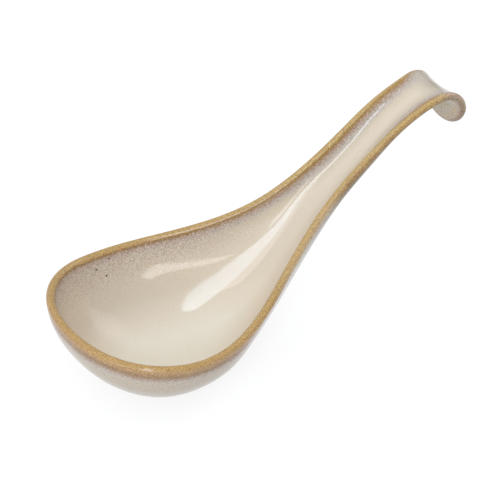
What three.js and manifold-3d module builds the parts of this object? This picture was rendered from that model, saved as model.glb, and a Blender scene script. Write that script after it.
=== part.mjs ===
// Ceramic soup spoon: a deep egg-shaped bowl, a channelled handle and a hooked end.
// One stoneware body carries three fired-on coats: inner glaze, outer glaze and a rim band.
// Millimetres, +Z up. The origin is the point of the flat foot under the deepest point of the bowl.
// +X runs from the bowl to the hook.
import * as THREE from 'three';
import { mergeVertices } from 'three/addons/utils/BufferGeometryUtils.js';
import Module from 'manifold-3d';

// Side line of the lip, from the tip of the bowl to the end of the hook.
const LIP_FALL = THREE.MathUtils.degToRad(7.9);
const FRONT_LENGTH = 24.5;
const SWEEP_RADIUS = 108;
const HANDLE_RISE = THREE.MathUtils.degToRad(30.2);
const HANDLE_STRAIGHT_LENGTH = 39;
const CREST_RADIUS = 67.4;
const HOOK_LEAD = THREE.MathUtils.degToRad(8.7);
const HOOK_RADIUS = 9;
const HOOK_DROP = THREE.MathUtils.degToRad(88);
const TONGUE_STRAIGHT_LENGTH = 7;

// Outline of the lip, laid out along the side line. Widths are to the middle of the lip.
const BOWL_HALF_WIDTH = 34.9;
const WIDEST_AT = 32;
const TIP_FULLNESS = 2.2;
const SHOULDER_LENGTH = 120;
const SHOULDER_HOLLOW = 2.5;
const HANDLE_HALF_WIDTH = 8.3;
const TONGUE_HALF_WIDTH = 9.4;
const TONGUE_ROUND = 9;

// Depth of the wall's middle below the lip, and how far its sides swing up.
const BOWL_DEPTH = 26.3;
const KEEL_LEVEL_TO = 45;
const NECK_LENGTH = 90;
const NECK_HOLLOW = 2.3;
const CHANNEL_DEPTH = 6;
const CHANNEL_FULL_TO = 115;
const TONGUE_DEPTH = 1.1;
const BOWL_SWING = THREE.MathUtils.degToRad(84);
const NECK_SWING = THREE.MathUtils.degToRad(24);
const CHANNEL_SWING = THREE.MathUtils.degToRad(83);
const SWING_LENGTH = 34;

// Wall, coats and foot.
const CLAY_WALL = 2.2;
const BASE_EXTRA = 3;
const BASE_HOLLOW = 4;
const GLAZE_THICKNESS = 0.3;
const BOND_GAP = 0.1;
const RIM_LAP_INSIDE = 0.5;
const RIM_LAP_OUTSIDE = 2.4;
const RIM_GAP = 0.3;
const FOOT_FLAT_DEPTH = 3.2;
const FOOT_BARE_HEIGHT = 0.5;

// Fineness of the mesh.
const FRONT_RIBS = 16;
const BACK_RIBS = 26;
const HOOK_RIBS = 12;
const END_RIBS = 9;
const WALL_ROWS = 7;
const LAP_ROWS = 2;
const LIP_STEPS = 8;

// Step used to measure slopes, which is also the shortest edge that a face may have.
const STEP = 1e-4;
const CLAY_HALF = CLAY_WALL / 2;
const COAT_IN = CLAY_HALF + BOND_GAP;
const COAT_OUT = COAT_IN + GLAZE_THICKNESS;

// The side line is a chain of stretches, each with a length and the angle that it turns through.
const SIDE_LINE = [
  { length: FRONT_LENGTH, turn: 0 },
  { length: SWEEP_RADIUS * (LIP_FALL + HANDLE_RISE), turn: LIP_FALL + HANDLE_RISE },
  { length: HANDLE_STRAIGHT_LENGTH, turn: 0 },
  { length: CREST_RADIUS * (HANDLE_RISE - HOOK_LEAD), turn: HOOK_LEAD - HANDLE_RISE },
  { length: HOOK_RADIUS * (HOOK_LEAD + HOOK_DROP), turn: -(HOOK_LEAD + HOOK_DROP) },
  { length: TONGUE_STRAIGHT_LENGTH, turn: 0 },
];
const LIP_LENGTH = SIDE_LINE.reduce((sum, stretch) => sum + stretch.length, 0);
// The bowl is deepest where its lip is level.
const DEEPEST_AT = FRONT_LENGTH + SWEEP_RADIUS * LIP_FALL;
const TONGUE_START = LIP_LENGTH - TONGUE_ROUND;
const HOOK_START = LIP_LENGTH - TONGUE_STRAIGHT_LENGTH - HOOK_RADIUS * (HOOK_LEAD + HOOK_DROP);

// Point of the side line at distance s from the tip, with its heading above the horizontal.
function sideLine(s) {
  let x = 0;
  let z = 0;
  let heading = -LIP_FALL;
  let left = s;
  for (const [i, { length, turn }] of SIDE_LINE.entries()) {
    const last = i === SIDE_LINE.length - 1;
    const run = last ? left : Math.min(left, length);
    const bend = (turn * run) / length;
    const radius = turn === 0 ? 0 : length / turn;
    if (turn === 0) {
      x += run * Math.cos(heading);
      z += run * Math.sin(heading);
    } else {
      x += radius * (Math.sin(heading + bend) - Math.sin(heading));
      z += radius * (Math.cos(heading) - Math.cos(heading + bend));
    }
    heading += bend;
    left -= run;
    if (left <= 0) break;
  }
  return { x, z, heading };
}

// A smooth fall from 1 to 0 over t = 0 to 1; a larger hollow falls sooner.
function ease(t, hollow) {
  const clamped = THREE.MathUtils.clamp(t, 0, 1);
  return ((1 + Math.cos(Math.PI * clamped)) / 2) ** hollow;
}

// Half-width of the lip at distance s from the tip, before the tongue is rounded off.
function halfWidth(s) {
  if (s < WIDEST_AT) {
    const back = (WIDEST_AT - s) / WIDEST_AT;
    return BOWL_HALF_WIDTH * (1 - back ** TIP_FULLNESS) ** (1 / TIP_FULLNESS);
  }
  const shoulderEnd = WIDEST_AT + SHOULDER_LENGTH;
  const flare = 1 - ease((s - shoulderEnd) / (TONGUE_START - shoulderEnd), 1);
  const handle = THREE.MathUtils.lerp(HANDLE_HALF_WIDTH, TONGUE_HALF_WIDTH, flare);
  const shoulder = ease((s - WIDEST_AT) / SHOULDER_LENGTH, SHOULDER_HOLLOW);
  return THREE.MathUtils.lerp(handle, BOWL_HALF_WIDTH, shoulder);
}

// How far along the neck s lies, from the end of the level keel (0) to the handle (1).
function alongNeck(s) {
  return (s - KEEL_LEVEL_TO) / NECK_LENGTH;
}

// How far the section at s is still bowl (1) and not yet handle (0).
function bowlShare(s) {
  return ease(alongNeck(s), NECK_HOLLOW);
}

// How far the handle's channel at s has flattened out towards the tongue.
function flatness(s) {
  return 1 - ease((s - CHANNEL_FULL_TO) / (TONGUE_START - CHANNEL_FULL_TO), 1);
}

// Depth of the wall's middle on the centre line. The bowl's keel runs level under the rising lip.
function depth(s) {
  const channel = THREE.MathUtils.lerp(CHANNEL_DEPTH, TONGUE_DEPTH, flatness(s));
  const share = bowlShare(s);
  if (share === 0) return channel;
  const { z, heading } = sideLine(s);
  const toKeel = (BOWL_DEPTH + z - sideLine(DEEPEST_AT).z) / Math.cos(heading);
  return THREE.MathUtils.lerp(channel, toKeel, share);
}

const RIBS_TO_TONGUE = FRONT_RIBS + BACK_RIBS + HOOK_RIBS;

// A rib runs from the centre line to the lip. t counts ribs from the tip (0) along the +Y side.
// The front ribs fan out from the deepest point, the last ones from the root of the tongue.
function rib(t) {
  const side = t < 0 ? -1 : 1;
  const count = Math.abs(t);
  if (count <= FRONT_RIBS) {
    const sweep = (count / FRONT_RIBS) * Math.PI / 2;
    const s = DEEPEST_AT * (1 - Math.cos(sweep));
    return { root: DEEPEST_AT, s, y: side * halfWidth(s) };
  }
  if (count <= RIBS_TO_TONGUE) {
    const back = count - FRONT_RIBS;
    const s = back < BACK_RIBS
      ? THREE.MathUtils.lerp(DEEPEST_AT, HOOK_START, back / BACK_RIBS)
      : THREE.MathUtils.lerp(HOOK_START, TONGUE_START, (back - BACK_RIBS) / HOOK_RIBS);
    return { root: s, s, y: side * halfWidth(s) };
  }
  const turn = ((count - RIBS_TO_TONGUE) / END_RIBS) * Math.PI / 2;
  const s = TONGUE_START + TONGUE_ROUND * Math.sin(turn);
  return { root: TONGUE_START, s, y: side * TONGUE_HALF_WIDTH * Math.cos(turn) };
}

// How far the sides of the section at s swing up. They are steep in the bowl and along the handle,
// and lean out at the neck and at the tongue.
function sideSwing(s) {
  const pastBowl = s - DEEPEST_AT;
  const inBowl = ease(pastBowl / SWING_LENGTH, 1);
  if (inBowl > 0) return THREE.MathUtils.lerp(NECK_SWING, BOWL_SWING, inBowl);
  const upright = (1 - ease(pastBowl / SWING_LENGTH - 1, 1)) * (1 - flatness(s));
  return THREE.MathUtils.lerp(NECK_SWING, CHANNEL_SWING, upright);
}

// Point on a rib's line at distance along and drop below the lip's side line.
function belowLip(along, drop, y) {
  const { x, z, heading } = sideLine(along);
  return new THREE.Vector3(x + drop * Math.sin(heading), y, z - drop * Math.cos(heading));
}

// Middle of the wall on rib t, from the centre line (v = 0) to the lip (v = 1).
function wallMiddle(t, v) {
  const { root, s, y } = rib(t);
  const swing = sideSwing(root);
  const out = Math.sin(v * swing) / Math.sin(swing);
  const up = (1 - Math.cos(v * swing)) / (1 - Math.cos(swing));
  return belowLip(THREE.MathUtils.lerp(root, s, out), depth(root) * (1 - up), y * out);
}

// Direction square to the wall, towards the inside of the bowl.
function wallNormal(t, v) {
  if (v === 0) {
    const { root } = rib(t);
    const ahead = belowLip(root + STEP, depth(root + STEP), 0);
    const run = ahead.sub(belowLip(root - STEP, depth(root - STEP), 0)).normalize();
    return new THREE.Vector3(-run.z, 0, run.x);
  }
  const along = wallMiddle(t + STEP, v).sub(wallMiddle(t - STEP, v));
  const outward = wallMiddle(t, v).sub(wallMiddle(t, v - STEP));
  return along.cross(outward).normalize();
}

// Direction out of the rim, square to the lip and to the wall.
function rimOutward(t) {
  const along = wallMiddle(t + STEP, 1).sub(wallMiddle(t - STEP, 1));
  return wallNormal(t, 1).cross(along).normalize();
}

// Share of rib t that lies below a lap of the given width, measured down from the lip.
function lapStart(t, lap) {
  const speed = wallMiddle(t, 1).distanceTo(wallMiddle(t, 1 - STEP)) / STEP;
  return 1 - lap / speed;
}

// Evenly spaced values from one number to another, both included.
function spread(from, to, steps) {
  return Array.from({ length: steps + 1 }, (_, i) => THREE.MathUtils.lerp(from, to, i / steps));
}

// Stretches of a section: places on the wall, each with its share v of the rib and the angle
// through which the lip has been rounded (0 on the inside, half a turn on the outside).
const innerWall = (t) => spread(0, lapStart(t, RIM_LAP_INSIDE + RIM_GAP), WALL_ROWS)
  .map((v) => ({ v, angle: 0 }));
const outerWall = (t) => spread(lapStart(t, RIM_LAP_OUTSIDE + RIM_GAP), 0, WALL_ROWS)
  .map((v) => ({ v, angle: Math.PI }));
const rimWrap = (t) => [
  ...spread(lapStart(t, RIM_LAP_INSIDE), 1, LAP_ROWS).map((v) => ({ v, angle: 0 })),
  ...spread(0, Math.PI, LIP_STEPS).slice(1, -1).map((angle) => ({ v: 1, angle })),
  ...spread(1, lapStart(t, RIM_LAP_OUTSIDE), LAP_ROWS).map((v) => ({ v, angle: Math.PI })),
];
const wholeSection = (t) => [...innerWall(t), ...rimWrap(t), ...outerWall(t)];

// Ribs right round the spoon, from the tip along +Y to the tongue and back along -Y.
const RIBS_A_SIDE = RIBS_TO_TONGUE + END_RIBS;
const RIBS = spread(1 - RIBS_A_SIDE, RIBS_A_SIDE, 2 * RIBS_A_SIDE - 1);

// The flat foot is cut across the base, a little way up from its lowest point.
const FOOT_DROP = depth(DEEPEST_AT) + CLAY_HALF + BASE_EXTRA - FOOT_FLAT_DEPTH;
const ORIGIN = belowLip(DEEPEST_AT, FOOT_DROP, 0);

// Extra clay on the outside, thickest along the keel of the bowl. It fades later than the bowl does,
// so that the keel keeps a heel for the foot where the floor already rises.
function baseExtra(t, v) {
  return BASE_EXTRA * ease(alongNeck(rib(t).root), 1) * ease(v, BASE_HOLLOW);
}

// Points of a section stretch on every rib, at the given distance from the wall's middle.
function sheet(stretch, distance) {
  return RIBS.map((t) => stretch(t).map(({ v, angle }) => {
    const point = wallMiddle(t, v).sub(ORIGIN);
    const reach = distance + (angle > 0 ? baseExtra(t, v) : 0);
    point.addScaledVector(wallNormal(t, v), reach * Math.cos(angle));
    if (v === 1) point.addScaledVector(rimOutward(t), distance * Math.sin(angle));
    return point;
  }));
}

// Adds the two triangles of a four-sided face, leaving out any that has no area.
function addFace(corners, a, b, c, d) {
  for (const triangle of [[a, b, c], [a, c, d]]) {
    const [p, q, r] = triangle;
    const flat = p.distanceTo(q) < STEP || q.distanceTo(r) < STEP || r.distanceTo(p) < STEP;
    if (!flat) corners.push(...triangle);
  }
}

// Covers a grid of points, which closes on itself from the last rib to the first. Sheets facing
// either way are split along the same diagonals, so that neighbouring coats keep clear of each other.
function addSheet(corners, grid, facesBack = false) {
  grid.forEach((line, i) => {
    const next = grid[(i + 1) % grid.length];
    for (let k = 0; k + 1 < line.length; k += 1) {
      if (facesBack) addFace(corners, line[k], line[k + 1], next[k + 1], next[k]);
      else addFace(corners, line[k], next[k], next[k + 1], line[k + 1]);
    }
  });
}

function geometryOf(corners) {
  const geometry = new THREE.BufferGeometry().setFromPoints(corners);
  return mergeVertices(geometry);
}

// A coat: the room between its inner and outer faces, closed along its edges. An edge on the
// centre line needs no strip, because both sides of the spoon meet there.
function coatGeometry(stretch) {
  const corners = [];
  const outer = sheet(stretch, COAT_OUT);
  const inner = sheet(stretch, COAT_IN);
  addSheet(corners, outer);
  addSheet(corners, inner, true);
  const last = outer[0].length - 1;
  if (stretch(0)[0].v > 0) addSheet(corners, outer.map((line, i) => [inner[i][0], line[0]]));
  if (stretch(0)[last].v > 0) addSheet(corners, outer.map((line, i) => [line[last], inner[i][last]]));
  return geometryOf(corners);
}

function bodyGeometry() {
  const corners = [];
  addSheet(corners, sheet(wholeSection, CLAY_HALF));
  return geometryOf(corners);
}

const wasm = await Module();
wasm.setup();

function toSolid(geometry) {
  const bare = new THREE.BufferGeometry();
  bare.setAttribute('position', geometry.getAttribute('position').clone());
  bare.setIndex(geometry.getIndex());
  const merged = mergeVertices(bare);
  return new wasm.Manifold(new wasm.Mesh({
    numProp: 3,
    vertProperties: new Float32Array(merged.getAttribute('position').array),
    triVerts: new Uint32Array(merged.getIndex().array),
  }));
}

function toGeometry(solid) {
  const mesh = solid.getMesh();
  const geometry = new THREE.BufferGeometry();
  geometry.setAttribute('position', new THREE.BufferAttribute(mesh.vertProperties, 3));
  geometry.setIndex(new THREE.BufferAttribute(mesh.triVerts, 1));
  return geometry;
}

// Takes away everything below the given height.
function cutBelow(geometry, level) {
  const reach = 2 * LIP_LENGTH;
  const block = new THREE.BoxGeometry(reach, reach, reach).translate(0, 0, level - reach / 2);
  return toGeometry(toSolid(geometry).subtract(toSolid(block)));
}

function piece(name, geometry, color, roughness) {
  geometry.computeVertexNormals();
  const material = new THREE.MeshStandardMaterial({ color, roughness, metalness: 0 });
  const mesh = new THREE.Mesh(geometry, material);
  mesh.name = name;
  return mesh;
}

const spoon = new THREE.Group();
spoon.name = 'soup_spoon';
spoon.add(
  piece('stoneware_body', cutBelow(bodyGeometry(), 0), 0xb9a487, 0.85),
  piece('inner_glaze', coatGeometry(innerWall), 0xe6dccb, 0.18),
  piece('outer_glaze', cutBelow(coatGeometry(outerWall), FOOT_BARE_HEIGHT), 0xcdc3b6, 0.25),
  piece('rim_glaze', coatGeometry(rimWrap), 0xc9a978, 0.3),
);

export default spoon;
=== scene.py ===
"""Ceramic soup spoon: one clay body under an inner glaze, an outer glaze and a tan rim band.

Every layer is set off from one surface, the middle of the wall, which is laid out rib by rib
along the side line of the lip. Metres, +Z up, and +X runs from the bowl to the hook.
"""

import logging
import math
from abc import ABC, abstractmethod
from collections.abc import Sequence
from dataclasses import dataclass, field
from enum import Enum
from functools import cached_property
from itertools import accumulate, pairwise

import bmesh
import bpy
from bmesh.types import BMEdge, BMesh, BMFace, BMVert
from mathutils import Matrix, Quaternion, Vector


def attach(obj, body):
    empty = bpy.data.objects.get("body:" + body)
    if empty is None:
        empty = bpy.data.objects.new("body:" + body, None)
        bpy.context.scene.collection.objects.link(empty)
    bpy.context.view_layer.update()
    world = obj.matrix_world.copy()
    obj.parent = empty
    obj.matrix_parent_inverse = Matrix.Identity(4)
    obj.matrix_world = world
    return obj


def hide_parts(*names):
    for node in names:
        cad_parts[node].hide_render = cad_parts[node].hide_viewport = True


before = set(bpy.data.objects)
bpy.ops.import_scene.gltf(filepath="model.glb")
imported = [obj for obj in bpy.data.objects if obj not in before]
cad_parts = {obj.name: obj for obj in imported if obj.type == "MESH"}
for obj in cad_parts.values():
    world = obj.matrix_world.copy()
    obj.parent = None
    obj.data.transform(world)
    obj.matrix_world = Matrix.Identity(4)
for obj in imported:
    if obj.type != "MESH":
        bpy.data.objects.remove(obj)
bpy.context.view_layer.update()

LOG = logging.getLogger("soup_spoon")
MM = 0.001
WELD = 1e-6
STEP = 1e-4
RUN_LAYER = "lip_run"

Triple = tuple[float, float, float]
Colour = tuple[float, float, float, float]
Span = tuple[float, float]
Zone = tuple[Span, Span]
Stops = tuple[tuple[float, Colour], ...]
Socket = bpy.types.NodeSocket
Number = Socket | float
Value = Number | Triple | Colour

WHITE: Colour = (1.0, 1.0, 1.0, 1.0)
UNIT: Span = (0.0, 1.0)


def tint(red: int, green: int, blue: int) -> Colour:
    """Turns a colour as seen on a screen into the linear colour that a shader takes.

    Args:
        red: Red, 0 to 255.
        green: Green, 0 to 255.
        blue: Blue, 0 to 255.

    Returns:
        The linear colour, opaque.
    """
    def linear(level: int) -> float:
        """Takes the display curve off one level."""
        share = level / 255
        return share / 12.92 if share <= 0.04045 else ((share + 0.055) / 1.055) ** 2.4
    return (linear(red), linear(green), linear(blue), 1.0)


def lerp(start: float, end: float, share: float) -> float:
    """Gives the value at a share of the way from start to end."""
    return start + (end - start) * share


def ease(share: float, hollow: float) -> float:
    """Falls smoothly from 1 to 0 over a share of 0 to 1; a larger hollow falls sooner."""
    held = min(max(share, 0.0), 1.0)
    return ((1 + math.cos(math.pi * held)) / 2) ** hollow


def spread(start: float, end: float, steps: int) -> list[float]:
    """Gives evenly spaced values from start to end, both included."""
    return [lerp(start, end, i / steps) for i in range(steps)] + [end]


def whole(mesh: BMesh) -> list[BMVert | BMEdge | BMFace]:
    """Lists everything in a mesh."""
    return [*mesh.verts, *mesh.edges, *mesh.faces]


def cut_level(mesh: BMesh, height: float) -> list[BMEdge]:
    """Cuts off what lies below a height.

    Args:
        mesh: The mesh to cut.
        height: The height.

    Returns:
        The edges along the cut.
    """
    cut = bmesh.ops.bisect_plane(mesh, geom=whole(mesh), dist=WELD, plane_co=(0, 0, height),
                                 plane_no=(0, 0, 1), clear_inner=True)["geom_cut"]
    return [part for part in cut if isinstance(part, BMEdge)]


def finished_mesh(name: str, drawn: BMesh) -> bpy.types.Mesh:
    """Turns what was drawn into a mesh.

    Args:
        name: The mesh's name.
        drawn: What was drawn, which is freed.

    Returns:
        The mesh.
    """
    mesh = bpy.data.meshes.new(name)
    drawn.to_mesh(mesh)
    drawn.free()
    return mesh


def put_in_scene(name: str, data: bpy.types.ID) -> bpy.types.Object:
    """Makes an object and links it to the scene.

    Args:
        name: The object's name.
        data: Its mesh, lamp or camera.

    Returns:
        The object.
    """
    made = bpy.data.objects.new(name, data)
    bpy.context.scene.collection.objects.link(made)
    return made


class Face(Enum):
    """A face of the wall, by the angle through which the lip has been rounded to reach it."""

    INSIDE = 0.0
    OUTSIDE = math.pi


@dataclass(frozen=True)
class Place:
    """A place on a section of the wall.

    Attributes:
        share: How far up the rib it lies, from the keel (0) to the lip (1).
        angle: How far round the lip it lies, from the inside (0) to the outside (half a turn).
    """

    share: float
    angle: float


@dataclass(frozen=True)
class Rib:
    """A line up the wall, from the keel to the lip.

    Attributes:
        root: Distance of its lower end from the tip of the bowl, along the lip's side line.
        top: Distance of its upper end.
        y: Sideways place of its upper end.
    """

    root: float
    top: float
    y: float


@dataclass(frozen=True)
class SpoonForm:
    """The middle of the wall, and the layers that are set off from it.

    Ribs are counted by stretch: 0 to 1 fan round the front of the bowl, 1 to 2 run from its deepest
    point along the handle, 2 to 3 round the hook and 3 to 4 fan round the end of the tongue. A swing
    is the angle that a section's sides turn up through, and a larger hollow makes a curve fall sooner.
    """

    lip_fall: float = math.radians(7.9)
    front_length: float = 24.5 * MM
    sweep_radius: float = 108 * MM
    handle_rise: float = math.radians(30.2)
    handle_straight: float = 39 * MM
    crest_radius: float = 67.4 * MM
    hook_lead: float = math.radians(8.7)
    hook_radius: float = 9 * MM
    hook_drop: float = math.radians(88)
    tongue_straight: float = 7 * MM
    bowl_half_width: float = 34.9 * MM
    widest_at: float = 32 * MM
    tip_fullness: float = 2.2
    shoulder_length: float = 120 * MM
    shoulder_hollow: float = 2.5
    handle_half_width: float = 8.3 * MM
    tongue_half_width: float = 9.4 * MM
    tongue_round: float = 9 * MM
    bowl_depth: float = 26.3 * MM
    keel_level_to: float = 45 * MM
    neck_length: float = 90 * MM
    neck_hollow: float = 2.3
    channel_depth: float = 6 * MM
    channel_full_to: float = 115 * MM
    tongue_depth: float = 1.1 * MM
    bowl_swing: float = math.radians(84)
    neck_swing: float = math.radians(24)
    channel_swing: float = math.radians(83)
    swing_length: float = 34 * MM
    clay_wall: float = 2.2 * MM
    base_extra: float = 3.0 * MM
    base_hollow: float = 4.0
    glaze_thickness: float = 0.29 * MM
    bond_gap: float = 0.1 * MM
    rim_lap_inside: float = 0.5 * MM
    rim_lap_outside: float = 2.4 * MM
    foot_flat_depth: float = 3.2 * MM
    foot_bare_height: float = 0.5 * MM

    @property
    def clay_half(self) -> float:
        """Half the thickness of the clay."""
        return self.clay_wall / 2

    @property
    def coat_in(self) -> float:
        """Distance from the wall's middle to the back of a coat."""
        return self.clay_half + self.bond_gap

    @property
    def coat_out(self) -> float:
        """Distance from the wall's middle to the face of a coat."""
        return self.coat_in + self.glaze_thickness

    @property
    def stretches(self) -> list[tuple[float, float]]:
        """Lengths of the side line's stretches, with the angle that each turns through."""
        return [
            (self.front_length, 0.0),
            (self.sweep_radius * (self.lip_fall + self.handle_rise), self.lip_fall + self.handle_rise),
            (self.handle_straight, 0.0),
            (self.crest_radius * (self.handle_rise - self.hook_lead), self.hook_lead - self.handle_rise),
            (self.hook_radius * (self.hook_lead + self.hook_drop), -(self.hook_lead + self.hook_drop)),
            (self.tongue_straight, 0.0),
        ]

    @property
    def lip_length(self) -> float:
        """Length of the side line, from the tip of the bowl to the end of the tongue."""
        return sum(length for length, _ in self.stretches)

    @property
    def deepest_at(self) -> float:
        """Where the lip is level, which is where the bowl is deepest."""
        return self.front_length + self.sweep_radius * self.lip_fall

    @property
    def tongue_start(self) -> float:
        """Where the end of the tongue begins to round off."""
        return self.lip_length - self.tongue_round

    @property
    def hook_start(self) -> float:
        """Where the handle begins to turn down."""
        return self.lip_length - self.tongue_straight - self.hook_radius * (self.hook_lead + self.hook_drop)

    def side_line(self, along: float) -> Triple:
        """Finds a point of the lip's side line.

        Args:
            along: Distance from the tip of the bowl.

        Returns:
            Its x, its z and the line's heading there above the horizontal.
        """
        x, z, heading, left = 0.0, 0.0, -self.lip_fall, along
        stretches = self.stretches
        for number, (length, turn) in enumerate(stretches):
            run = left if number == len(stretches) - 1 else min(left, length)
            if turn == 0:
                x += run * math.cos(heading)
                z += run * math.sin(heading)
            else:
                radius = length / turn
                bend = run / radius
                x += radius * (math.sin(heading + bend) - math.sin(heading))
                z += radius * (math.cos(heading) - math.cos(heading + bend))
                heading += bend
            left -= run
            if left <= 0:
                break
        return x, z, heading

    def half_width(self, along: float) -> float:
        """Gives half the width of the lip, before the tongue is rounded off.

        Args:
            along: Distance from the tip of the bowl.

        Returns:
            Half the width there.
        """
        if along < self.widest_at:
            back = (self.widest_at - along) / self.widest_at
            return self.bowl_half_width * (1 - back ** self.tip_fullness) ** (1 / self.tip_fullness)
        shoulder_end = self.widest_at + self.shoulder_length
        flare = 1 - ease((along - shoulder_end) / (self.tongue_start - shoulder_end), 1)
        handle = lerp(self.handle_half_width, self.tongue_half_width, flare)
        shoulder = ease((along - self.widest_at) / self.shoulder_length, self.shoulder_hollow)
        return lerp(handle, self.bowl_half_width, shoulder)

    def along_neck(self, along: float) -> float:
        """Place along the neck, from the end of the level keel (0) to the handle (1)."""
        return (along - self.keel_level_to) / self.neck_length

    def bowl_share(self, along: float) -> float:
        """Tells how far a section is still bowl (1) and not yet handle (0)."""
        return ease(self.along_neck(along), self.neck_hollow)

    def flatness(self, along: float) -> float:
        """Tells how far the handle's channel has flattened out towards the tongue."""
        return 1 - ease((along - self.channel_full_to) / (self.tongue_start - self.channel_full_to), 1)

    def depth(self, along: float) -> float:
        """Gives the depth of the wall's middle below the lip, on the centre line.

        Args:
            along: Distance from the tip of the bowl.

        Returns:
            The depth, square to the lip's side line.
        """
        channel = lerp(self.channel_depth, self.tongue_depth, self.flatness(along))
        share = self.bowl_share(along)
        if share == 0:
            return channel
        _, z, heading = self.side_line(along)
        level = self.side_line(self.deepest_at)[1]
        return lerp(channel, (self.bowl_depth + z - level) / math.cos(heading), share)

    def rib(self, count: float) -> Rib:
        """Gives a rib.

        Args:
            count: The rib's count; below 0 it lies on the -Y side.

        Returns:
            The rib.
        """
        side = -1 if count < 0 else 1
        count = abs(count)
        if count <= 1:
            top = self.deepest_at * (1 - math.cos(count * math.pi / 2))
            return Rib(self.deepest_at, top, side * self.half_width(top))
        if count <= 3:
            top = (lerp(self.deepest_at, self.hook_start, count - 1) if count <= 2
                   else lerp(self.hook_start, self.tongue_start, count - 2))
            return Rib(top, top, side * self.half_width(top))
        turn = (count - 3) * math.pi / 2
        top = self.tongue_start + self.tongue_round * math.sin(turn)
        return Rib(self.tongue_start, top, side * self.tongue_half_width * math.cos(turn))

    def side_swing(self, along: float) -> float:
        """Gives the angle that a section's sides swing up through.

        Args:
            along: Distance of the section from the tip of the bowl.

        Returns:
            The angle, steep in the bowl and along the handle, less at the neck and at the tongue.
        """
        past_bowl = (along - self.deepest_at) / self.swing_length
        in_bowl = ease(past_bowl, 1)
        if in_bowl > 0:
            return lerp(self.neck_swing, self.bowl_swing, in_bowl)
        upright = (1 - ease(past_bowl - 1, 1)) * (1 - self.flatness(along))
        return lerp(self.neck_swing, self.channel_swing, upright)

    def below_lip(self, along: float, drop: float, y: float) -> Vector:
        """Gives the point at a drop below the lip's side line, square to it."""
        x, z, heading = self.side_line(along)
        return Vector((x + drop * math.sin(heading), y, z - drop * math.cos(heading)))

    def wall_point(self, count: float, share: float) -> Vector:
        """Gives a point of the wall's middle.

        Args:
            count: The rib's count.
            share: How far up the rib the point lies.

        Returns:
            The point, measured from the tip of the bowl.
        """
        rib = self.rib(count)
        swing = self.side_swing(rib.root)
        out = math.sin(share * swing) / math.sin(swing)
        rise = (1 - math.cos(share * swing)) / (1 - math.cos(swing))
        return self.below_lip(lerp(rib.root, rib.top, out), self.depth(rib.root) * (1 - rise), rib.y * out)

    def wall_normal(self, count: float, share: float) -> Vector:
        """Gives the direction square to the wall.

        Args:
            count: The rib's count.
            share: How far up the rib the place lies.

        Returns:
            The direction, towards the inside of the bowl.
        """
        if share == 0:
            root = self.rib(count).root
            ahead, behind = (self.below_lip(along, self.depth(along), 0)
                             for along in (root + STEP * MM, root - STEP * MM))
            keel = (ahead - behind).normalized()
            return Vector((-keel.z, 0, keel.x))
        along = self.wall_point(count + STEP, share) - self.wall_point(count - STEP, share)
        up = self.wall_point(count, share) - self.wall_point(count, share - STEP)
        return along.cross(up).normalized()

    def rim_outward(self, count: float) -> Vector:
        """Gives the direction out of the rim, square to the lip and to the wall."""
        along = self.wall_point(count + STEP, 1) - self.wall_point(count - STEP, 1)
        return self.wall_normal(count, 1).cross(along).normalized()

    def lap_share(self, count: float, lap: float) -> float:
        """Gives the share of a rib that lies below a lap of the given width."""
        speed = (self.wall_point(count, 1) - self.wall_point(count, 1 - STEP)).length / STEP
        return 1 - lap / speed

    def surface_point(self, count: float, place: Place, distance: float) -> Vector:
        """Gives a point of a layer, in the spoon's own frame.

        Args:
            count: The rib's count.
            place: Where on the section the point lies.
            distance: Distance of the layer from the wall's middle.

        Returns:
            The point, measured from the origin on the foot.
        """
        heel = ease(self.along_neck(self.rib(count).root), 1.0)
        extra = self.base_extra * heel * ease(place.share, self.base_hollow)
        reach = distance + (extra if place.angle > 0 else 0)
        point = self.wall_point(count, place.share) - self.origin
        point += self.wall_normal(count, place.share) * (reach * math.cos(place.angle))
        if place.share == 1:
            point += self.rim_outward(count) * (distance * math.sin(place.angle))
        return point

    @property
    def origin(self) -> Vector:
        """The point of the flat foot under the deepest point of the bowl."""
        drop = self.depth(self.deepest_at) + self.clay_half + self.base_extra - self.foot_flat_depth
        return self.below_lip(self.deepest_at, drop, 0)


@dataclass(frozen=True)
class Fineness:
    """How finely a layer is meshed.

    Attributes:
        ribs: Steps between ribs in each of the four stretches of a side.
        wall: Steps up a wall.
        lap: Steps across a lap of the rim band.
        lip: Steps round the lip.
    """

    ribs: tuple[int, int, int, int] = (44, 64, 28, 22)
    wall: int = 44
    lap: int = 5
    lip: int = 16

    def counts(self) -> list[float]:
        """Lists the counts of the ribs of one side, from the tip to the end of the tongue."""
        steps = [spread(number, number + 1, count)[:-1] for number, count in enumerate(self.ribs)]
        return [count for stretch in steps for count in stretch] + [float(len(self.ribs))]


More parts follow.
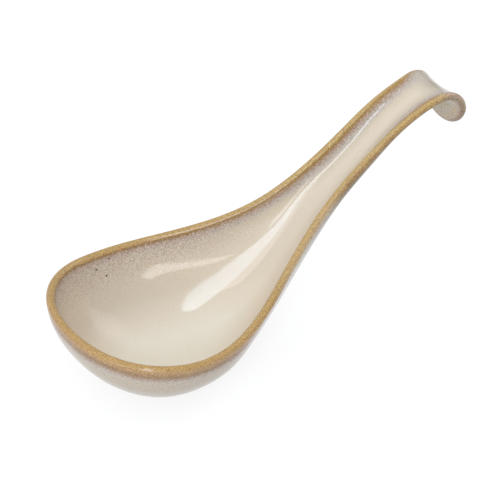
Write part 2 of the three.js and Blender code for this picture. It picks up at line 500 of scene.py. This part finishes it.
@dataclass
class Sheet:
    """A closed skin of the spoon, drawn by extruding a chain of edges from rib to rib.

    Attributes:
        loop: Whether the chain closes on itself.
        mesh: The mesh being drawn.
        chain: The vertices of the last rib laid.
        run: The layer that keeps each vertex's distance from the crown of the lip.
    """

    loop: bool
    mesh: BMesh = field(default_factory=bmesh.new)
    chain: list[BMVert] = field(default_factory=list)

    def __post_init__(self) -> None:
        """Adds the layer of distances to the mesh."""
        self.run = self.mesh.verts.layers.float.new(RUN_LAYER)

    def chain_edges(self) -> list[BMEdge]:
        """Lists the edges of the last rib laid."""
        ends = self.chain[1:] + (self.chain[:1] if self.loop else [])
        return [self.mesh.edges.get((start, end)) for start, end in zip(self.chain, ends)]

    def begin(self, size: int) -> None:
        """Draws the first chain, all in one place.

        Args:
            size: How many vertices the chain has.
        """
        self.chain = list(bmesh.ops.create_vert(self.mesh, co=(0, 0, 0))["vert"])
        for _ in range(size - 1):
            self.chain += bmesh.ops.extrude_vert_indiv(self.mesh, verts=self.chain[-1:])["verts"]
        if self.loop:
            bmesh.ops.contextual_create(self.mesh, geom=[self.chain[0], self.chain[-1]])

    def grow(self) -> None:
        """Extrudes the last chain into a new one."""
        grown = bmesh.ops.extrude_edge_only(self.mesh, edges=self.chain_edges())["geom"]
        fresh = {part for part in grown if isinstance(part, BMVert)}
        self.chain = [next(end for end in (edge.other_vert(vert) for edge in vert.link_edges) if end in fresh)
                      for vert in self.chain]

    def lay(self, points: list[Vector], runs: Sequence[float] = ()) -> None:
        """Lays the next rib.

        Args:
            points: Where the rib's vertices lie.
            runs: Their distances from the crown of the lip, positive inside, where a finish needs them.
        """
        if self.chain:
            self.grow()
        else:
            self.begin(len(points))
        for vert, point in zip(self.chain, points):
            vert.co = point
        for vert, run in zip(self.chain, runs):
            vert[self.run] = run

    def close(self) -> BMesh:
        """Mirrors the side that was laid, welds the two and turns the faces outwards.

        Returns:
            The closed mesh.
        """
        mesh = self.mesh
        bmesh.ops.mirror(mesh, geom=whole(mesh), matrix=Matrix.Identity(4), merge_dist=WELD, axis="Y")
        bmesh.ops.remove_doubles(mesh, verts=mesh.verts[:], dist=WELD)
        bmesh.ops.recalc_face_normals(mesh, faces=mesh.faces[:])
        if mesh.calc_volume(signed=True) < 0:
            bmesh.ops.reverse_faces(mesh, faces=mesh.faces[:])
        return mesh


class Graph:
    """The node tree of a material or a world, with short calls to add nodes and join them."""

    def __init__(self, owner: bpy.types.Material | bpy.types.World) -> None:
        """Starts with an empty tree.

        Args:
            owner: The material or the world.
        """
        owner.use_nodes = True
        self.tree = owner.node_tree
        self.tree.nodes.clear()

    @cached_property
    def place(self) -> Socket:
        """Where a point lies, in the piece's own frame."""
        return self.add("ShaderNodeTexCoord", "Object", {})

    @cached_property
    def along(self) -> Socket:
        """How far along X a point lies."""
        return self.add("ShaderNodeSeparateXYZ", "X", {0: self.place})

    def feed(self, socket: Socket, value: Value) -> None:
        """Joins a socket to another one, or sets it to a constant.

        Args:
            socket: The socket to feed.
            value: The other socket, or the constant.
        """
        if isinstance(value, bpy.types.NodeSocket):
            self.tree.links.new(value, socket)
        else:
            socket.default_value = value

    def add(self, kind: str, output: int | str, inputs: dict[int | str, Value], **settings: str) -> Socket:
        """Adds a node.

        Args:
            kind: The node's type.
            output: Which of its outputs to give back.
            inputs: What its inputs are fed with.
            settings: Its properties by name.

        Returns:
            The output.
        """
        node = self.tree.nodes.new(kind)
        for key, setting in settings.items():
            setattr(node, key, setting)
        for key, value in inputs.items():
            self.feed(node.inputs[key], value)
        return node.outputs[output]

    def math(self, operation: str, first: Number, second: Number) -> Socket:
        """Works out a sum, a product or the like of two numbers."""
        return self.add("ShaderNodeMath", 0, {0: first, 1: second}, operation=operation)

    def vectors(self, operation: str, first: Socket, second: Triple) -> Socket:
        """Works out the distance, the product or the like of two vectors."""
        return self.add("ShaderNodeVectorMath", "Value", {0: first, 1: second}, operation=operation)

    def remap(self, value: Socket, span: Span, low: Number, high: Number) -> Socket:
        """Carries a span of numbers onto the one from low to high, smoothly and held at its ends."""
        inputs = dict(enumerate((value, *span, low, high)))
        return self.add("ShaderNodeMapRange", 0, inputs, interpolation_type="SMOOTHSTEP")

    def within(self, value: Socket, zone: Zone, before: float = 0.0, after: float = 0.0) -> Socket:
        """Tells how far a number lies within a zone, with what is left of it before and after."""
        entered = self.remap(value, zone[0], before, 1.0)
        return self.math("MULTIPLY", entered, self.remap(value, zone[1], 1.0, after))

    def past(self, span: Span) -> Socket:
        """Tells how far a point has come along X, from the start of a span (0) to its end (1)."""
        return self.remap(self.along, span, 0.0, 1.0)

    def noise(self, size: float, detail: float = 2.0) -> Socket:
        """Adds cloudy noise, about 0.5 on average, with patches of a size and some finer detail."""
        inputs = {"Vector": self.place, "Scale": 1 / size, "Detail": detail}
        return self.add("ShaderNodeTexNoise", "Fac", inputs)

    def ramp(self, value: Socket, stops: Stops) -> Socket:
        """Adds a colour ramp over a value.

        Args:
            value: The value to look up.
            stops: Values and the colours there, in rising order.

        Returns:
            The colour.
        """
        low, high = stops[0][0], stops[-1][0]
        spot = self.add("ShaderNodeMapRange", 0, {0: value, 1: low, 2: high})
        found = self.add("ShaderNodeValToRGB", "Color", {"Fac": spot})
        elements = found.node.color_ramp.elements
        for index, (mark, colour) in enumerate(stops):
            share = (mark - low) / (high - low)
            element = elements[index] if index < 2 else elements.new(share)
            element.position = share
            element.color = colour
        return found

    def mix(self, share: Number, first: Socket | Colour, second: Socket | Colour) -> Socket:
        """Mixes two colours, by the node's colour sockets, with the given share of the second one."""
        return self.add("ShaderNodeMix", 2, {0: share, 6: first, 7: second}, data_type="RGBA")

    def bump(self, height: Socket, depth: float) -> Socket:
        """Adds relief of the given depth in metres, by a height from 0 to 1."""
        return self.add("ShaderNodeBump", "Normal", {"Strength": 1.0, "Distance": depth, "Height": height})

    def end(self, shader: str = "ShaderNodeBsdfPrincipled", output: str = "ShaderNodeOutputMaterial",
            **inputs: Value) -> None:
        """Ends the tree in a shader, whose inputs are named with _ for each space."""
        shaded = self.add(shader, 0, {key.replace("_", " "): value for key, value in inputs.items()})
        self.feed(self.tree.nodes.new(output).inputs["Surface"], shaded)


@dataclass(frozen=True)
class Grains:
    """Fine grains in a glaze, dark ones and pale ones.

    Attributes:
        dark: Colour of the dark ones.
        pale: Colour of the pale ones.
        strength: How far they cover the glaze's own colour.
        size: Size of a grain.
        dark_span: Values of the noise over which the dark ones come in.
        pale_span: Values of the noise over which the pale ones go out.
    """

    dark: Colour
    pale: Colour
    strength: float
    size: float = 0.48 * MM
    dark_span: Span = (0.5, 0.64)
    pale_span: Span = (0.36, 0.5)

    def add(self, graph: Graph, zone: Socket, colour: Socket) -> Socket:
        """Adds the grains to a colour.

        Args:
            graph: The material's graph.
            zone: How far a point lies in the zone that has them.
            colour: Colour without grains.

        Returns:
            The colour with them.
        """
        noise = graph.noise(self.size)
        dark = graph.remap(noise, self.dark_span, 0.0, self.strength)
        pale = graph.remap(noise, self.pale_span, self.strength, 0.0)
        colour = graph.mix(graph.math("MULTIPLY", dark, zone), colour, self.dark)
        return graph.mix(graph.math("MULTIPLY", pale, zone), colour, self.pale)


@dataclass(frozen=True)
class IronSpecks:
    """Iron specks in a glaze, a few large ones and a scatter of small ones inside the lip.

    Attributes:
        colour: Their colour.
        spots: Places of the large ones, in millimetres.
        spot_span: Distances from a large one's middle over which it ends.
        cell: Size of the cells that hold at most one small speck each.
        empty: Share of the cells that hold none.
        speck_span: Distances from a small one's middle over which it ends, against its cell.
        zone: Where the small ones lie, by the distance from the crown of the lip in millimetres.
        strength: How far the small ones cover the glaze's own colour.
    """

    colour: Colour = tint(56, 42, 34)
    spots: tuple[Triple, ...] = ((-8.3, 32.3, 23.5), (-5.1, 31.0, 20.1), (-2.6, 32.6, 25.6))
    spot_span: Span = (0.2 * MM, 0.55 * MM)
    cell: float = 4.5 * MM
    empty: float = 0.75
    speck_span: Span = (0.04, 0.085)
    zone: Zone = ((3.0, 3.6), (8.0, 20.0))
    strength: float = 0.6

    def add(self, graph: Graph, run: Socket, colour: Socket) -> Socket:
        """Adds the specks to a colour.

        Args:
            graph: The material's graph.
            run: Distance from the crown of the lip.
            colour: Colour without specks.

        Returns:
            The colour with them.
        """
        away = graph.add("ShaderNodeTexVoronoi", "Distance", {"Vector": graph.place, "Scale": 1 / self.cell})
        lot = graph.add("ShaderNodeSeparateXYZ", "X", {0: away.node.outputs["Color"]})
        filled = graph.math("GREATER_THAN", lot, self.empty)
        small = graph.math("MULTIPLY", graph.remap(away, self.speck_span, self.strength, 0.0), filled)
        iron = graph.math("MULTIPLY", small, graph.within(run, self.zone))
        for spot in self.spots:
            away = graph.vectors("DISTANCE", graph.place, tuple(number * MM for number in spot))
            iron = graph.math("MAXIMUM", iron, graph.remap(away, self.spot_span, 1.0, 0.0))
        return graph.mix(iron, colour, self.colour)


@dataclass(frozen=True)
class GlazeFinish:
    """A reactive glaze that breaks to tan over the lip, and to mauve beside the tan.

    Runs of colours, spans and zones go by the distance from the crown of the lip in millimetres,
    positive inside, where they aren't said to lie along X.

    Attributes:
        name: The material's name.
        roughness: How rough its face is.
        bowl: Colours on the bowl.
        handle: Colours along the handle, where the cream comes nearer to the lip, lighter at the crown as a
            painted highlight and darker outside the lip as painted shade, each partly the glaze's own colour.
        neck: Colours outside the neck, where the tan is narrow.
        tongue: Colours at the end of the tongue, where the tan is a thin edge.
        to_handle: Span along X in which the bowl's colours change to the handle's.
        to_tongue: Span along X in which the handle's colours change to the tongue's.
        neck_zone: Zone along X that has the neck's colours.
        neck_top: Span in which they end on the lip.
        sway_size: Size of the waves in the edges of the colours.
        fray_size: Size of the teeth in them.
        edge_noise: Values of the noise at which waves and teeth reach furthest.
        edge_shift: How far each of them reaches.
        tan_grains: Grains of the tan.
        tan_zone: Where they lie.
        mauve_grains: Grains of the mauve.
        inner_zone: Where they lie inside.
        inner_rest: Share of them that is left at the bottom of the bowl.
        outer_zone: Where they lie outside.
        outer_rest: Share of them that is left further down outside.
        channel_span: Span in which they fade along the handle's channel.
        channel_fade: Share of them that fades there.
        iron: The iron specks.
        wave_size: Size of the waves of its face.
        wave_depth: Depth of those waves.
        refraction: Its refractive index.
    """

    name: str
    roughness: float
    bowl: Stops = (
        (-19.0, tint(193, 180, 166)), (-12.0, tint(199, 182, 159)), (-7.5, tint(202, 186, 168)),
        (-6.4, tint(192, 172, 154)), (-5.3, tint(170, 141, 117)), (-4.3, tint(149, 115, 88)),
        (-2.4, tint(186, 148, 106)), (0.2, tint(177, 142, 82)), (1.3, tint(180, 150, 98)),
        (1.9, tint(187, 148, 99)), (2.7, tint(135, 103, 62)), (3.4, tint(167, 140, 112)),
        (4.4, tint(182, 161, 149)), (6.0, tint(190, 174, 155)), (10.0, tint(202, 185, 165)),
        (16.0, tint(212, 196, 175)), (22.0, tint(216, 201, 181)), (30.0, tint(233, 220, 201)),
        (39.0, tint(241, 234, 217)),
    )
    # Painted light on the handle: the lighter gold at 0.5 and 1.2 is partly a painted highlight on the crown,
    # and the dark browns from -8.0 to -1.6 are partly painted shade on the handle's outer side; the rest of
    # each is the glaze's own colour.
    handle: Stops = (
        (-8.0, tint(136, 118, 98)), (-4.6, tint(98, 70, 42)), (-2.8, tint(123, 95, 59)),
        (-1.6, tint(148, 114, 74)), (-0.6, tint(172, 138, 90)), (0.5, tint(194, 161, 104)),
        (1.2, tint(191, 164, 109)), (1.9, tint(158, 122, 67)), (2.5, tint(162, 129, 81)),
        (3.4, tint(176, 145, 123)), (4.4, tint(182, 168, 154)), (5.5, tint(198, 184, 171)),
        (7.0, tint(212, 197, 173)), (10.0, tint(222, 208, 189)),
    )
    neck: Stops = (
        (-8.0, tint(184, 172, 162)), (-3.2, tint(184, 171, 156)), (-2.0, tint(196, 178, 152)),
        (-1.0, tint(190, 160, 120)), (0.3, tint(186, 154, 104)),
    )
    tongue: Stops = (
        (-8.0, tint(205, 192, 163)), (-3.0, tint(205, 187, 170)), (-1.3, tint(140, 115, 108)),
        (-0.4, tint(142, 126, 105)), (0.6, tint(181, 154, 137)), (2.6, tint(190, 180, 168)),
        (7.0, tint(190, 179, 165)), (14.0, tint(165, 154, 132)),
    )
    to_handle: Span = (15 * MM, 60 * MM)
    to_tongue: Span = (107 * MM, 118 * MM)
    neck_zone: Zone = ((24 * MM, 38 * MM), (58 * MM, 70 * MM))
    neck_top: Span = (-0.2, 0.6)
    sway_size: float = 14 * MM
    fray_size: float = 0.8 * MM
    edge_noise: Span = (0.3, 0.7)
    edge_shift: float = 0.25
    tan_grains: Grains = Grains(dark=tint(140, 100, 58), pale=tint(216, 180, 114), strength=0.5)
    tan_zone: Zone = ((-5.2, -4.2), (1.8, 2.8))
    mauve_grains: Grains = Grains(dark=tint(132, 114, 104), pale=tint(232, 222, 212), strength=0.38)
    inner_zone: Zone = ((2.2, 3.0), (4.0, 22.0))
    inner_rest: float = 0.15
    outer_zone: Zone = ((-14.0, -5.0), (-5.4, -4.6))
    outer_rest: float = 0.25
    channel_span: Span = (4.0, 7.5)
    channel_fade: float = 0.8
    iron: IronSpecks = IronSpecks()
    wave_size: float = 16 * MM
    wave_depth: float = 0.04 * MM
    refraction: float = 1.5

    def run(self, graph: Graph) -> Socket:
        """Measures from the crown of the lip, with a wandering, frayed edge.

        Args:
            graph: The material's graph.

        Returns:
            The distance, in millimetres.
        """
        stored = graph.add("ShaderNodeAttribute", "Fac", {}, attribute_name=RUN_LAYER)
        run = graph.math("MULTIPLY", stored, 1 / MM)
        for size in (self.sway_size, self.fray_size):
            shift = graph.remap(graph.noise(size), self.edge_noise, -self.edge_shift, self.edge_shift)
            run = graph.math("ADD", run, shift)
        return run

    def colour(self, graph: Graph, run: Socket) -> Socket:
        """Colours the glaze: its runs of colours, then the grains and the iron specks in them.

        Args:
            graph: The material's graph.
            run: Distance from the crown of the lip.

        Returns:
            The colour.
        """
        on_handle = graph.past(self.to_handle)
        # Along the handle the colours carry a painted highlight on the crown and painted shade outside the
        # lip.
        colour = graph.mix(on_handle, graph.ramp(run, self.bowl), graph.ramp(run, self.handle))
        outside = graph.remap(run, self.neck_top, 1.0, 0.0)
        on_neck = graph.math("MULTIPLY", graph.within(graph.along, self.neck_zone), outside)
        colour = graph.mix(on_neck, colour, graph.ramp(run, self.neck))
        colour = graph.mix(graph.past(self.to_tongue), colour, graph.ramp(run, self.tongue))
        colour = self.tan_grains.add(graph, graph.within(run, self.tan_zone), colour)
        fade = graph.math("MULTIPLY", on_handle, graph.remap(run, self.channel_span, 0.0, self.channel_fade))
        inner = graph.within(run, self.inner_zone, after=self.inner_rest)
        inner = graph.math("MULTIPLY", inner, graph.math("SUBTRACT", 1.0, fade))
        outer = graph.within(run, self.outer_zone, before=self.outer_rest)
        colour = self.mauve_grains.add(graph, graph.math("ADD", inner, outer), colour)
        return self.iron.add(graph, run, colour)

    def material(self) -> bpy.types.Material:
        """Builds the material.

        Returns:
            The material.
        """
        material = bpy.data.materials.new(self.name)
        graph = Graph(material)
        waves = graph.noise(self.wave_size, detail=1.0)
        graph.end(Base_Color=self.colour(graph, self.run(graph)), Roughness=self.roughness,
                  IOR=self.refraction, Normal=graph.bump(waves, self.wave_depth))
        return material


@dataclass(frozen=True)
class ClayFinish:
    """Bare buff clay with fine grit, ground flat at the foot.

    Attributes:
        name: The material's name.
        roughness: How rough its face is.
        pale: Colour of the clay.
        warm: Colour of its warmer clouds.
        cloud_size: Size of the clouds.
        cloud_span: Values of the noise over which they come in.
        grit: Colour of the grit.
        grit_size: Size of the grit.
        grit_span: Values of the noise over which it comes in.
        grit_strength: How far it covers the clay's own colour.
        relief_size: Size of the bumps of its face.
        relief_depth: Depth of those bumps.
    """

    name: str = "bare_clay"
    roughness: float = 0.85
    pale: Colour = tint(206, 186, 156)
    warm: Colour = tint(186, 156, 120)
    cloud_size: float = 6 * MM
    cloud_span: Span = (0.35, 0.65)
    grit: Colour = tint(120, 96, 74)
    grit_size: float = 0.5 * MM
    grit_span: Span = (0.6, 0.7)
    grit_strength: float = 0.6
    relief_size: float = 0.35 * MM
    relief_depth: float = 0.03 * MM

    def material(self) -> bpy.types.Material:
        """Builds the material.

        Returns:
            The material.
        """
        material = bpy.data.materials.new(self.name)
        graph = Graph(material)
        clouds = graph.remap(graph.noise(self.cloud_size, detail=3.0), self.cloud_span, 0.0, 1.0)
        grit = graph.remap(graph.noise(self.grit_size, detail=1.0), self.grit_span, 0.0, self.grit_strength)
        colour = graph.mix(grit, graph.mix(clouds, self.pale, self.warm), self.grit)
        relief = graph.bump(graph.noise(self.relief_size), self.relief_depth)
        graph.end(Base_Color=colour, Roughness=self.roughness, Normal=relief)
        return material


@dataclass
class Layer(ABC):
    """A layer of the spoon, made as one closed skin.

    Attributes:
        form: The shape that the layer follows.
        name: The piece's name.
        node: The node of the frame that it stands for.
        slot: The record's material slot; not used.
        finish: Its finish.
        fineness: How finely it is meshed.
        sharp: Fold from which an edge is shaded sharp.
    """

    form: SpoonForm
    name: str = ""
    node: str = ""
    slot: str = ""
    finish: GlazeFinish | ClayFinish = ClayFinish()
    fineness: Fineness = Fineness()
    sharp: float = math.radians(35)

    @abstractmethod
    def draw(self) -> BMesh:
        """Draws the layer's mesh."""

    def wall(self, face: Face, start: float, end: float, steps: int) -> list[Place]:
        """Lists places along a wall, from one share of the rib to another."""
        return [Place(share, face.value) for share in spread(start, end, steps)]

    def lip(self) -> list[Place]:
        """Lists places round the lip, without its two ends."""
        return [Place(1.0, angle) for angle in spread(0, math.pi, self.fineness.lip)[1:-1]]

    def points(self, count: float, places: list[Place], distance: float) -> list[Vector]:
        """Gives the points of a rib at a distance from the wall's middle."""
        return [self.form.surface_point(count, place, distance) for place in places]

    def make(self) -> None:
        """Builds the piece, dresses it and puts it in the frame."""
        drawn = self.draw()
        for polygon in drawn.faces:
            polygon.smooth = True
        for edge in drawn.edges:
            edge.smooth = edge.calc_face_angle(0.0) < self.sharp
        mesh = finished_mesh(self.name, drawn)
        mesh.materials.append(self.finish.material())
        piece = put_in_scene(self.name, mesh)
        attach(piece, "root")
        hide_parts(self.node)
        LOG.info("%s: %d faces", self.name, len(mesh.polygons))


@dataclass
class Coat(Layer):
    """A coat of glaze, with a face and a back that meet along its edges.

    Attributes:
        loop: Whether its section closes on itself, clear of the centre line.
    """

    loop: bool = False

    @abstractmethod
    def places(self, count: float) -> list[Place]:
        """Lists the places across the coat, from one edge to the other."""

    @abstractmethod
    def measured(self, face: list[Vector]) -> list[float]:
        """Measures the places of a rib from the crown of the lip."""

    def lip_reach(self) -> float:
        """Distance over the coat's face from the crown of the lip to where its rounding ends."""
        return self.form.coat_out * math.pi / 2

    def runs(self, points: list[Vector], start: float) -> list[float]:
        """Measures a line of points along its length, falling from the first one's distance."""
        falls = (-(after - before).length for before, after in pairwise(points))
        return list(accumulate(falls, initial=start))

    def draw(self) -> BMesh:
        """Draws the coat rib by rib, face and back in one chain.

        Returns:
            The closed mesh.
        """
        sheet = Sheet(self.loop)
        for count in self.fineness.counts():
            places = self.places(count)
            face = self.points(count, places, self.form.coat_out)
            back = self.points(count, places, self.form.coat_in)
            runs = self.measured(face)
            sheet.lay(face + back[::-1], runs + runs[::-1])
        return sheet.close()


@dataclass
class InnerGlaze(Coat):
    """The glaze inside the bowl, along the channel and over the hook."""

    name: str = "inner_glaze_skin"
    node: str = "inner_glaze"
    slot: str = "inner_glaze"
    finish: GlazeFinish = GlazeFinish("cream_glaze", roughness=0.07)

    def places(self, count: float) -> list[Place]:
        """Lists the places from the keel up to the rim band."""
        end = self.form.lap_share(count, self.form.rim_lap_inside)
        return self.wall(Face.INSIDE, 0.0, end, self.fineness.wall)

    def measured(self, face: list[Vector]) -> list[float]:
        """Measures down from the rim band, rising towards the keel."""
        top = self.lip_reach() + self.form.rim_lap_inside
        return [2 * top - run for run in self.runs(face[::-1], top)][::-1]


@dataclass
class OuterGlaze(Coat):
    """The glaze outside, which stops short of the foot."""

    name: str = "outer_glaze_skin"
    node: str = "outer_glaze"
    slot: str = "outer_glaze"
    finish: GlazeFinish = GlazeFinish("pale_grey_glaze", roughness=0.16)

    def places(self, count: float) -> list[Place]:
        """Lists the places from the rim band down to the keel."""
        start = self.form.lap_share(count, self.form.rim_lap_outside)
        return self.wall(Face.OUTSIDE, start, 0.0, self.fineness.wall)

    def measured(self, face: list[Vector]) -> list[float]:
        """Measures down from the rim band, falling towards the keel."""
        return self.runs(face, -self.lip_reach() - self.form.rim_lap_outside)

    def draw(self) -> BMesh:
        """Draws the coat and cuts it off above the foot.

        Returns:
            The closed mesh.
        """
        mesh = super().draw()
        bmesh.ops.bridge_loops(mesh, edges=cut_level(mesh, self.form.foot_bare_height))
        return mesh


@dataclass
class RimBand(Coat):
    """The tan band where the glaze runs thin over the lip."""

    name: str = "rim_band"
    node: str = "rim_glaze"
    slot: str = "rim_glaze"
    finish: GlazeFinish = GlazeFinish("tan_rim_glaze", roughness=0.13)
    loop: bool = True

    def places(self, count: float) -> list[Place]:
        """Lists the places from the inside of the lip, over it and down the outside.

        Args:
            count: The rib's count.

        Returns:
            The places.
        """
        steps = self.fineness.lap
        inner = self.wall(Face.INSIDE, self.form.lap_share(count, self.form.rim_lap_inside), 1.0, steps)
        outer = self.wall(Face.OUTSIDE, 1.0, self.form.lap_share(count, self.form.rim_lap_outside), steps)
        return inner + self.lip() + outer

    def measured(self, face: list[Vector]) -> list[float]:
        """Measures across the band, from inside to outside."""
        return self.runs(face, self.lip_reach() + self.form.rim_lap_inside)


@dataclass
class ClayBody(Layer):
    """The fired clay under the coats, bare at its flat foot.

    Attributes:
        foot_edge: How far the foot's edge is broken.
    """

    name: str = "clay_body"
    node: str = "stoneware_body"
    slot: str = "stoneware"
    fineness: Fineness = Fineness(ribs=(28, 40, 18, 12), wall=24, lip=8)
    foot_edge: float = 0.15 * MM

    def draw(self) -> BMesh:
        """Draws the clay, cuts it flat at the foot and breaks the foot's edge.

        Returns:
            The closed mesh.
        """
        sheet = Sheet(loop=False)
        inner = self.wall(Face.INSIDE, 0.0, 1.0, self.fineness.wall)
        outer = self.wall(Face.OUTSIDE, 1.0, 0.0, self.fineness.wall)
        for count in self.fineness.counts():
            sheet.lay(self.points(count, inner + self.lip() + outer, self.form.clay_half))
        mesh = sheet.close()
        rim = cut_level(mesh, 0.0)
        bmesh.ops.edgeloop_fill(mesh, edges=rim)
        bmesh.ops.bevel(mesh, geom=rim, offset=self.foot_edge, segments=2, profile=0.5, affect="EDGES",
                        material=-1)
        bmesh.ops.recalc_face_normals(mesh, faces=mesh.faces[:])
        return mesh


@dataclass(frozen=True)
class Panel:
    """An upright light panel that faces the spoon.

    Attributes:
        name: The lamp's name.
        azimuth: Its direction from the spoon in degrees, from +X towards +Y.
        heights: How high its lower and upper ends are, before it leans.
        width: How wide it is.
        radiance: Its power over pi and its area, which sets how bright its face is.
        lean: How far it leans over in its own plane, in degrees.
        colour: Tint of its light.
    """

    name: str
    azimuth: float
    heights: Span
    width: float
    radiance: float
    lean: float = 0.0
    colour: Triple = (1.0, 1.0, 1.0)

    def stand(self, aim: Vector, distance: float) -> None:
        """Stands the panel in the scene.

        Args:
            aim: What it faces.
            distance: How far off it stands.
        """
        low, high = self.heights
        data = bpy.data.lights.new(self.name, "AREA")
        data.shape = "RECTANGLE"
        data.size = self.width
        data.size_y = high - low
        data.energy = self.radiance * math.pi * self.width * (high - low)
        data.color = self.colour
        around = math.radians(self.azimuth)
        away = Vector((math.cos(around), math.sin(around), 0.0))
        facing = Quaternion(away, math.radians(self.lean)) @ away.to_track_quat("Z", "Y")
        lamp = put_in_scene(self.name, data)
        lamp.location = aim + away * distance + Vector((0.0, 0.0, (low + high) / 2))
        lamp.rotation_euler = facing.to_euler()


@dataclass
class Studio:
    """A pale floor, soft light and the camera.

    Attributes:
        eye: Where the camera stands.
        turn: Angle of the view round from the spoon's side.
        tilt: Angle of the view below the horizontal.
        lens: Focal length in millimetres, on a 36 mm sensor.
        aim: What the lamps stand round.
        lamp_distance: How far off they stand.
        panels: The lamps.
        bright_side: Direction from which the room is brightest.
        bright_light: Brightness of the room on that side.
        dim_light: Brightness of the room square to it and beyond.
        floor_size: Side of the floor.
        floor_gap: How far the floor lies below the foot, so that their faces don't coincide.
        floor_colour: The floor's grey, which takes the spoon's shadow.
        floor_glow: How brightly the floor shines on the spoon.
        floor_lift: How much brighter the camera and reflections see it.
    """

    eye: Triple = (-0.28345, -0.4301, 0.45064)
    turn: float = math.radians(36.5)
    tilt: float = math.radians(38)
    lens: float = 140.4
    aim: Triple = (0.03, 0.0, 0.0)
    lamp_distance: float = 0.8
    panels: tuple[Panel, ...] = (
        Panel("tall_panel", -121.9, (0.11, 2.5), width=0.19, radiance=5.4, lean=-6,
              colour=(0.82, 1.0, 1.18)),
        Panel("soft_edge", -141, (0.2, 0.9), width=0.19, radiance=2.4, lean=-6),
        Panel("side_strip", -113.6, (0.15, 0.39), width=0.1, radiance=3.8, lean=-34),
        Panel("left_glint", -165, (0.2, 0.45), width=0.3, radiance=3.5),
        Panel("right_fill", -8, (0.3, 1.2), width=0.6, radiance=1.2),
    )
    bright_side: Triple = (-0.05, 0.5, 0.86)
    bright_light: float = 0.95
    dim_light: float = 0.38
    floor_size: float = 6.0
    floor_gap: float = 0.05 * MM
    floor_colour: Colour = (0.25, 0.25, 0.25, 1.0)
    floor_glow: float = 0.3
    floor_lift: float = 0.5

    def camera(self) -> None:
        """Sets up the camera at the photographed angle."""
        data = bpy.data.cameras.new("camera")
        data.lens = self.lens
        camera = put_in_scene("camera", data)
        level = math.cos(self.tilt)
        ahead = Vector((level * math.sin(self.turn), level * math.cos(self.turn), -math.sin(self.tilt)))
        camera.rotation_euler = ahead.to_track_quat("-Z", "Y").to_euler()
        camera.location = self.eye
        bpy.context.scene.camera = camera

    def room(self) -> None:
        """Fills the room with soft light from above and behind, and shows the camera plain white."""
        world = bpy.data.worlds.new("room")
        bpy.context.scene.world = world
        graph = Graph(world)
        ahead = graph.add("ShaderNodeTexCoord", "Generated", {})
        side = graph.vectors("DOT_PRODUCT", ahead, self.bright_side)
        light = graph.remap(side, UNIT, self.dim_light, self.bright_light)
        seen = graph.add("ShaderNodeLightPath", "Is Camera Ray", {})
        strength = graph.remap(seen, UNIT, light, 1.0)
        graph.end("ShaderNodeBackground", "ShaderNodeOutputWorld", Color=WHITE, Strength=strength)

    def floor(self) -> None:
        """Lays the floor, white to the camera apart from the spoon's soft shadow."""
        drawn = bmesh.new()
        bmesh.ops.create_grid(drawn, x_segments=1, y_segments=1, size=self.floor_size / 2,
                              matrix=Matrix.Translation((0.0, 0.0, -self.floor_gap)))
        material = bpy.data.materials.new("white_floor")
        graph = Graph(material)
        shown = graph.add("ShaderNodeLightPath", "Is Camera Ray", {})
        seen = graph.math("MAXIMUM", shown, shown.node.outputs["Is Glossy Ray"])
        glow = graph.math("ADD", graph.math("MULTIPLY", seen, self.floor_lift), self.floor_glow)
        graph.end(Base_Color=self.floor_colour, Roughness=0.9, Specular_IOR_Level=0.0,
                  Emission_Color=WHITE, Emission_Strength=glow)
        mesh = finished_mesh("floor", drawn)
        mesh.materials.append(material)
        floor = put_in_scene("floor", mesh)

    def set_up(self) -> None:
        """Sets up the camera, the lamps, the room and the floor."""
        bpy.context.scene.view_settings.view_transform = "Standard"
        self.camera()
        for panel in self.panels:
            panel.stand(Vector(self.aim), self.lamp_distance)
        self.room()
        self.floor()


def main() -> None:
    """Builds the spoon and its surroundings."""
    logging.basicConfig(level=logging.INFO)
    form = SpoonForm()
    for layer in (ClayBody(form), InnerGlaze(form), OuterGlaze(form), RimBand(form)):
        layer.make()
    Studio().set_up()


if __name__ == "__main__":
    main()
